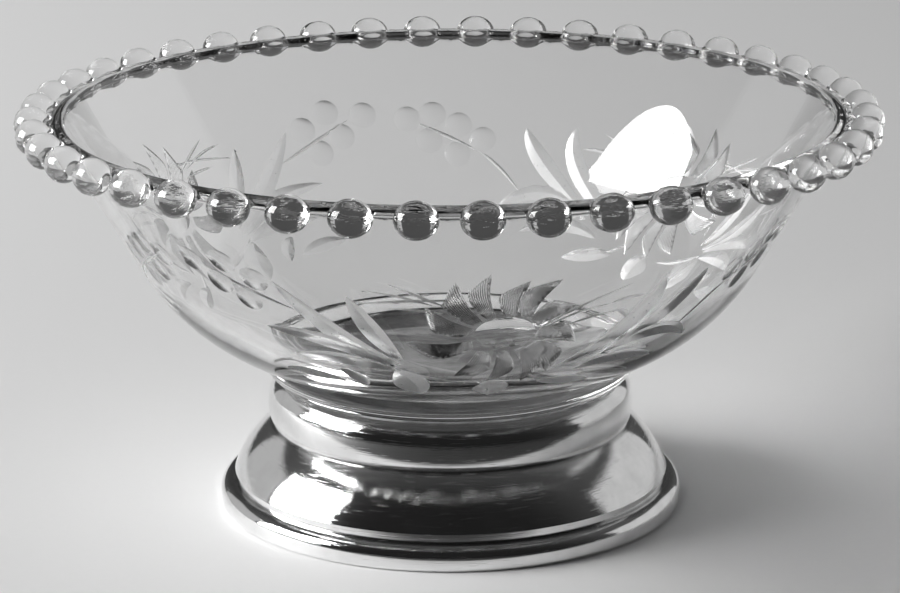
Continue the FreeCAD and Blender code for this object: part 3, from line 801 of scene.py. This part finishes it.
def lampClear(tree, shader, tint):
    # Lets lamp rays through the glass, so that the table under it isn't black.
    path = addNode(tree, "ShaderNodeLightPath")
    clear = addNode(tree, "ShaderNodeBsdfTransparent", Color=(tint, tint, tint, 1))
    mix = addNode(tree, "ShaderNodeMixShader")
    tree.links.new(path.outputs["Is Shadow Ray"], mix.inputs[0])
    tree.links.new(shader.outputs[0], mix.inputs[1])
    tree.links.new(clear.outputs[0], mix.inputs[2])
    tree.links.new(mix.outputs[0], tree.nodes["Material Output"].inputs["Surface"])


def calc(tree, operation, *values):
    # A math node's value.
    node = addNode(tree, "ShaderNodeMath", operation=operation)
    for socket, value in zip(node.inputs, values):
        feed(tree, value, socket)
    return node.outputs[0]


def ramp(tree, value, start, end, low=0.0, high=1.0):
    # Goes smoothly from low to high while the value goes from start to end.
    node = addNode(tree, "ShaderNodeMapRange", interpolation_type="SMOOTHSTEP")
    for socket, number in zip(node.inputs, (value, start, end, low, high)):
        feed(tree, number, socket)
    return node.outputs[0]


def grey(tree, value, low, high):
    # A grey between two tones: low at 0, high at 1.
    node = addNode(tree, "ShaderNodeMix", data_type="RGBA")
    tree.links.new(value, node.inputs[0])
    node.inputs[6].default_value = (low, low, low, 1)
    node.inputs[7].default_value = (high, high, high, 1)
    return node.outputs[2]


def noise(tree, vector, scale, detail=2.0, rough=0.5):
    # Cloudy values from 0 to 1, mostly near 0.5.
    node = addNode(tree, "ShaderNodeTexNoise", Detail=detail, Roughness=rough)
    tree.links.new(vector, node.inputs["Vector"])
    feed(tree, scale, node.inputs["Scale"])
    return node.outputs["Fac"]


def mapped(tree, vector, **values):
    # The vector turned and scaled.
    node = addNode(tree, "ShaderNodeMapping", **values)
    tree.links.new(vector, node.inputs["Vector"])
    return node.outputs[0]


def relief(tree, shader, height, strength, distance):
    # Bump on this shader.
    bump = addNode(tree, "ShaderNodeBump", Strength=strength, Distance=distance)
    tree.links.new(height, bump.inputs["Height"])
    tree.links.new(bump.outputs["Normal"], shader.inputs["Normal"])


def objectPlace(tree):
    # Object coordinates in metres, as one vector and as x, y, z.
    place = addNode(tree, "ShaderNodeTexCoord").outputs["Object"]
    parts = addNode(tree, "ShaderNodeSeparateXYZ")
    tree.links.new(place, parts.inputs[0])
    return [place, *parts.outputs]


def radiusOf(tree, x, y):
    # Distance from the axis: the root of x x + y y.
    return calc(tree, "SQRT", calc(tree, "ADD", calc(tree, "MULTIPLY", x, x), calc(tree, "MULTIPLY", y, y)))


def newGroup(name, inputs, outputs):
    # A node group with these named numbers in and out.
    group = bpy.data.node_groups.new(name, "ShaderNodeTree")
    for key, value in inputs.items():
        socket = group.interface.new_socket(name=key, in_out="INPUT", socket_type="NodeSocketFloat")
        socket.default_value = value
    for key in outputs:
        group.interface.new_socket(name=key, in_out="OUTPUT", socket_type="NodeSocketFloat")
    return group, addNode(group, "NodeGroupInput").outputs, addNode(group, "NodeGroupOutput").inputs


def useGroup(tree, group, **values):
    # The group's outputs, with these values for its inputs.
    node = tree.nodes.new("ShaderNodeGroup")
    node.node_tree = group
    for key, value in values.items():
        node.inputs[key].default_value = value
    return node.outputs


turnedMarks = {
    "fineness": 5200.0, "lineLength": 4.0, "lineNoise": (1.0, 3.0, 0.6),
    "hairTurn": (0.0, 0.5, 0.35), "hairScale": (260.0, 260.0, 3800.0),
    "hairNoise": (1.0, 1.0), "hairs": (0.62, 0.7),
    "dullNoise": (70.0, 4.0, 0.6), "dull": (0.42, 0.72),
}


def turnedWear():
    # Wear of turned metal: Lines is noise of (x / r, y / r, r - z), fine across the lathe's lines and
    # long round the axis; Hairs are slanted hairline scratches; Dull is patches.
    marks = turnedMarks
    group, given, result = newGroup("turnedWear", {"Fineness": marks["fineness"]}, ("Lines", "Hairs", "Dull"))
    place, x, y, z = objectPlace(group)
    radius = radiusOf(group, x, y)
    around = addNode(group, "ShaderNodeCombineXYZ")
    for socket, side in zip(around.inputs, (x, y)):
        feed(group, calc(group, "MULTIPLY", calc(group, "DIVIDE", side, radius), marks["lineLength"]), socket)
    down = calc(group, "SUBTRACT", radius, z)
    feed(group, calc(group, "MULTIPLY", down, given["Fineness"]), around.inputs[2])
    slant = mapped(group, place, Rotation=marks["hairTurn"], Scale=marks["hairScale"])
    feed(group, noise(group, around.outputs[0], *marks["lineNoise"]), result["Lines"])
    feed(group, ramp(group, noise(group, slant, *marks["hairNoise"]), *marks["hairs"]), result["Hairs"])
    feed(group, ramp(group, noise(group, place, *marks["dullNoise"]), *marks["dull"]), result["Dull"])
    return group


wheelMarks = {"noise": (2600.0, 3.0, 0.7)}


def wheelGrain():
    # Fine grain left by the grinding wheel.
    scale, detail, rough = wheelMarks["noise"]
    group, given, result = newGroup("wheelGrain", {"Scale": scale}, ("Grain",))
    place = addNode(group, "ShaderNodeTexCoord").outputs["Object"]
    feed(group, noise(group, place, given["Scale"], detail, rough), result["Grain"])
    return group


glassLook = {
    "index": 1.52, "tones": (0.975, 0.99), "toneScale": 30.0,
    "waveScale": 45.0, "waveHeight": 0.16,
    "rippleScale": 420.0, "rippleFlat": 3.0,         # of the mould, on the beads
    "rippleFrom": -0.3, "rippleTo": 1.2,             # where they set in, out from the rim's edge
    "relief": (0.5, 0.0001), "lampTint": 0.86,
}


def clearGlass():
    # Polished glass with the faintest waviness, and the ripples of the mould on the beads.
    look = glassLook
    material, tree, shader = newMaterial("clearGlass")
    shader.inputs["Transmission Weight"].default_value = 1
    shader.inputs["IOR"].default_value = look["index"]
    shader.inputs["Roughness"].default_value = 0
    place, x, y = objectPlace(tree)[:3]
    start, end = ((bowl["rimRadius"] + look[key]) * metre for key in ("rippleFrom", "rippleTo"))
    onBeads = ramp(tree, radiusOf(tree, x, y), start, end)
    flat = mapped(tree, place, Scale=(1.0, 1.0, look["rippleFlat"]))
    ripples = calc(tree, "MULTIPLY", noise(tree, flat, look["rippleScale"]), onBeads)
    waves = calc(tree, "MULTIPLY", noise(tree, place, look["waveScale"]), look["waveHeight"])
    relief(tree, shader, calc(tree, "ADD", ripples, waves), *look["relief"])
    tone = grey(tree, noise(tree, place, look["toneScale"]), *look["tones"])
    tree.links.new(tone, shader.inputs["Base Color"])
    lampClear(tree, shader, look["lampTint"])
    return material


# Finishes of the cuts, in the order of their material numbers from 1: roughness, share of light let
# through, depth of the grain in metres, and tone. The combed grooves are finer than a picture can
# shade, so their anticlockwise flanks get painted shade: a darker copy of the combed finish.
wheelFinishes = {
    "greyCut": (0.33, 0.87, 0.00003, 1.0), "combedCut": (0.17, 0.87, 0.00001, 1.0),
    "budCut": (0.18, 0.97, 0.00001, 1.0), "combedShade": (0.14, 0.95, 0.00001, 0.3),
}
cutLook = {"tones": (0.86, 0.97), "grain": (0.25, 0.75), "spread": 0.2, "relief": 0.3, "lampTint": 0.75}


def cutGlass(name, grain, rough, through, depth, tone):
    # Hollows of the wheel: ground and left grey, or nearly polished. A tone under 1 paints shade.
    look = cutLook
    material, tree, shader = newMaterial(name)
    shader.inputs["Transmission Weight"].default_value = through
    shader.inputs["IOR"].default_value = glassLook["index"]
    marks = useGroup(tree, grain, Scale=wheelMarks["noise"][0])["Grain"]
    low, high = look["tones"]
    tree.links.new(grey(tree, marks, low * tone, high * tone), shader.inputs["Base Color"])
    smooth, coarse = rough * (1 - look["spread"]), rough * (1 + look["spread"])
    tree.links.new(ramp(tree, marks, *look["grain"], smooth, coarse), shader.inputs["Roughness"])
    relief(tree, shader, marks, look["relief"], depth)
    lampClear(tree, shader, look["lampTint"])
    return material


silverLook = {
    "anisotropy": 0.55, "grainTurn": 0.25, "tones": (0.92, 0.4), "dull": 0.3,
    "tarnish": 0.75, "tarnishWidth": 0.5,
    "tarnishAt": ("rimHeight", "neckHeight"),        # heights of the foot's creases
    "rough": 0.01, "lineRough": 0.12, "hairRough": 0.1, "dullRough": 0.08,
    "hairDepth": -0.4, "relief": (0.28, 0.00004),
}


def silver(wear):
    # Polished silver with fine turned scratches, dull patches, and tarnish left in the creases.
    look = silverLook
    material, tree, shader = newMaterial("polishedSilver")
    shader.inputs["Metallic"].default_value = 1
    shader.inputs["Anisotropic"].default_value = look["anisotropy"]
    shader.inputs["Anisotropic Rotation"].default_value = look["grainTurn"]
    marks = useGroup(tree, wear, Fineness=turnedMarks["fineness"])
    z = objectPlace(tree)[3]
    shade = calc(tree, "MULTIPLY", marks["Dull"], look["dull"])
    for key in look["tarnishAt"]:
        apart = calc(tree, "ABSOLUTE", calc(tree, "SUBTRACT", z, foot[key] * metre))
        crease = ramp(tree, apart, 0.0, look["tarnishWidth"] * metre, look["tarnish"], 0.0)
        shade = calc(tree, "ADD", shade, crease)
    shade = calc(tree, "MINIMUM", shade, 1.0)
    tree.links.new(grey(tree, shade, *look["tones"]), shader.inputs["Base Color"])
    rough = calc(tree, "MULTIPLY_ADD", marks["Hairs"], look["hairRough"], look["rough"])
    rough = calc(tree, "MULTIPLY_ADD", marks["Lines"], look["lineRough"], rough)
    rough = calc(tree, "MULTIPLY_ADD", shade, look["dullRough"], rough)
    tree.links.new(rough, shader.inputs["Roughness"])
    height = calc(tree, "MULTIPLY_ADD", marks["Hairs"], look["hairDepth"], marks["Lines"])
    relief(tree, shader, height, *look["relief"])
    return material


plasterLook = {
    "patchNoise": (110.0, 6.0, 0.68), "patches": (0.36, 0.66), "patchShare": 0.85,
    "grainNoise": (900.0, 4.0, 0.6), "grainShare": 0.25, "tones": (0.06, 0.36),
    "rough": (0.2, 0.8, 0.7, 0.95), "relief": (0.6, 0.0003),
}


def plaster():
    # Setting cement, stained and patchy where it meets the glass.
    look = plasterLook
    material, tree, shader = newMaterial("settingPlaster")
    place = addNode(tree, "ShaderNodeTexCoord").outputs["Object"]
    patches = ramp(tree, noise(tree, place, *look["patchNoise"]), *look["patches"])
    grain = noise(tree, place, *look["grainNoise"])
    tone = calc(tree, "MULTIPLY", patches, look["patchShare"])
    tone = calc(tree, "MULTIPLY_ADD", grain, look["grainShare"], tone)
    tree.links.new(grey(tree, tone, *look["tones"]), shader.inputs["Base Color"])
    tree.links.new(ramp(tree, grain, *look["rough"]), shader.inputs["Roughness"])
    relief(tree, shader, grain, *look["relief"])
    return material


coverLook = {"tones": (0.68, 0.45), "rough": (0.2, 0.8, 0.22, 0.42), "relief": (0.4, 0.00006)}


def coverMetal(wear):
    # Thin disc under the foot, turned and dull.
    material, tree, shader = newMaterial("brushedCover")
    shader.inputs["Metallic"].default_value = 1
    marks = useGroup(tree, wear, Fineness=turnedMarks["fineness"])
    tree.links.new(grey(tree, marks["Dull"], *coverLook["tones"]), shader.inputs["Base Color"])
    tree.links.new(ramp(tree, marks["Lines"], *coverLook["rough"]), shader.inputs["Roughness"])
    relief(tree, shader, marks["Lines"], *coverLook["relief"])
    return material


inside, landEdge = glassInside()
glassPatches = lathePatches(glassBase(), bowl["columns"])
glassPatches += cutSide()
glassPatches += beadedRim(landEdge)
glassPatches += lathePatches(inside, bowl["columns"])
grain, wear = wheelGrain(), turnedWear()
cutGlasses = [cutGlass(name, grain, *finish) for name, finish in wheelFinishes.items()]
glassBowl = makePiece("glassBowl", glassPatches, [clearGlass()] + cutGlasses)
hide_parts("glass_bowl")
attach(glassBowl, "root")

silverFoot = makePiece("silverFoot", spunFoot(), [silver(wear)])
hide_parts("silver_foot")
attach(silverFoot, "root")

for name, material in (("setting_plaster", plaster()), ("base_cover", coverMetal(wear))):
    node = bpy.data.objects[name]
    node.data.materials.clear()
    node.data.materials.append(material)
print("materials:", ", ".join(sorted(material.name for material in bpy.data.materials)))

# Camera, at the photograph's viewpoint: metres, degrees, and millimetres of lens and sensor
camera = {
    "place": (0.0, -0.518, 0.180), "pitch": 15.92, "roll": 0.25, "lens": 138.97, "sensor": 36.0, "near": 0.01,
}


def setCamera():
    # Looks along +Y, tipped down by the pitch, and rolled a little.
    pitch, roll = math.radians(camera["pitch"]), math.radians(camera["roll"])
    right = Vector((1, 0, 0))
    forward = Vector((0, math.cos(pitch), -math.sin(pitch)))
    up = right.cross(forward)
    right, up = right * math.cos(roll) - up * math.sin(roll), right * math.sin(roll) + up * math.cos(roll)
    data = bpy.data.cameras.new("camera")
    data.lens, data.sensor_width = camera["lens"], camera["sensor"]
    data.clip_start = camera["near"]
    eye = bpy.data.objects.new("camera", data)
    axes = Matrix((right, up, -forward)).transposed()
    eye.matrix_world = Matrix.Translation(camera["place"]) @ axes.to_4x4()
    bpy.context.scene.collection.objects.link(eye)
    bpy.context.scene.camera = eye
    print("camera at", camera["place"])


# A window and the two walls that it lights: two places on the ground, lowest and highest height
# (metres), and power (watts).
lights = {
    "windowLeft": ((-1.04, -0.45), (-1.76, 0.54), 0.22, 1.015, 50),
    "wallRight": ((1.6, -0.1), (0.9, 1.5), 0.0, 0.9, 2.4),
    "wallLeft": ((-1.76, 0.62), (-1.0, 1.5), 0.0, 0.9, 1.2),
}


def window(name, near, far, low, high, power):
    # An upright lit rectangle between two places on the ground, facing the bowl.
    first, last = Vector((*near, (low + high) / 2)), Vector((*far, (low + high) / 2))
    data = bpy.data.lights.new(name, "AREA")
    data.shape, data.size, data.size_y, data.energy = "RECTANGLE", (last - first).length, high - low, power
    across = (last - first).normalized()
    up = Vector((0, 0, 1))
    back = across.cross(up)
    middle = (first + last) / 2
    if back.dot(middle) < 0:
        across, back = -across, -back
    light = bpy.data.objects.new(name, data)
    light.matrix_world = Matrix.Translation(middle) @ Matrix((across, up, back)).transposed().to_4x4()
    bpy.context.scene.collection.objects.link(light)
    print("%s: %.1f W" % (name, power))


table = {
    "half": 2.5, "rough": 0.7, "tones": (0.8, 0.04),
    "shadeAlong": (1.5, -0.8),                       # the painted shade grows with 1.5 x - 0.8 y
    "shade": (0.02, 0.12, 0.0, 0.38),
    "reflectionDarkRamp": (-0.0375, -0.046),                   # y where the table, seen by glossy rays, turns to a painted dark reflection, in metres
    "fleckNoise": (900.0, 3.0), "flecks": 0.02,
}


def makeFloor():
    # A pale matt table that reaches out of the picture, with painted shade at the near right: a
    # smooth ramp across its colour. To glossy rays, as in reflections, its colour is painted dark from
    # just in front of the foot, a painted dark reflection.
    half = table["half"]
    mesh = bpy.data.meshes.new("floor")
    corners = [(-half, -half, 0), (half, -half, 0), (half, half, 0), (-half, half, 0)]
    mesh.from_pydata(corners, [], [(0, 1, 2, 3)])
    material, tree, shader = newMaterial("paleTable")
    shader.inputs["Roughness"].default_value = table["rough"]
    place, x, y = objectPlace(tree)[:3]
    alongX, alongY = table["shadeAlong"]
    aside = calc(tree, "MULTIPLY_ADD", x, alongX, calc(tree, "MULTIPLY", y, alongY))
    # painted shade: the table's colour darkens towards the near right
    shade = ramp(tree, aside, *table["shade"])
    shade = calc(tree, "MULTIPLY_ADD", noise(tree, place, *table["fleckNoise"]), table["flecks"], shade)
    path = addNode(tree, "ShaderNodeLightPath")
    # painted reflection: glossy rays see the table dark in front of the foot
    dark = calc(tree, "MULTIPLY", ramp(tree, y, *table["reflectionDarkRamp"]), path.outputs["Is Glossy Ray"])
    tone = grey(tree, calc(tree, "MAXIMUM", dark, shade), *table["tones"])
    tree.links.new(tone, shader.inputs["Base Color"])
    mesh.materials.append(material)
    floor = bpy.data.objects.new("floor", mesh)
    bpy.context.scene.collection.objects.link(floor)
    print("floor: %.1f m wide" % (2 * half))


room = {"from": -0.7, "to": 0.4, "behind": 0.014, "ahead": 0.075}   # directions, and the light there


def makeRoom():
    # A dim room, darkest behind the camera: a smooth ramp over the direction's y.
    world = bpy.data.worlds.new("room")
    world.use_nodes = True
    tree = world.node_tree
    direction = addNode(tree, "ShaderNodeSeparateXYZ")
    tree.links.new(addNode(tree, "ShaderNodeTexCoord").outputs["Generated"], direction.inputs[0])
    background = tree.nodes["Background"]
    background.inputs["Color"].default_value = (1, 1, 1, 1)
    strength = ramp(tree, direction.outputs["Y"], room["from"], room["to"], room["behind"], room["ahead"])
    tree.links.new(strength, background.inputs["Strength"])
    return world


setCamera()
makeFloor()
for name, place in lights.items():
    window(name, *place)
scene = bpy.context.scene
scene.world = makeRoom()
print("room: %d lights" % len(lights))
scene.view_settings.view_transform = "Standard"
scene.cycles.max_bounces = 24
scene.cycles.transmission_bounces = 20
scene.cycles.glossy_bounces = 8
scene.cycles.transparent_max_bounces = 16
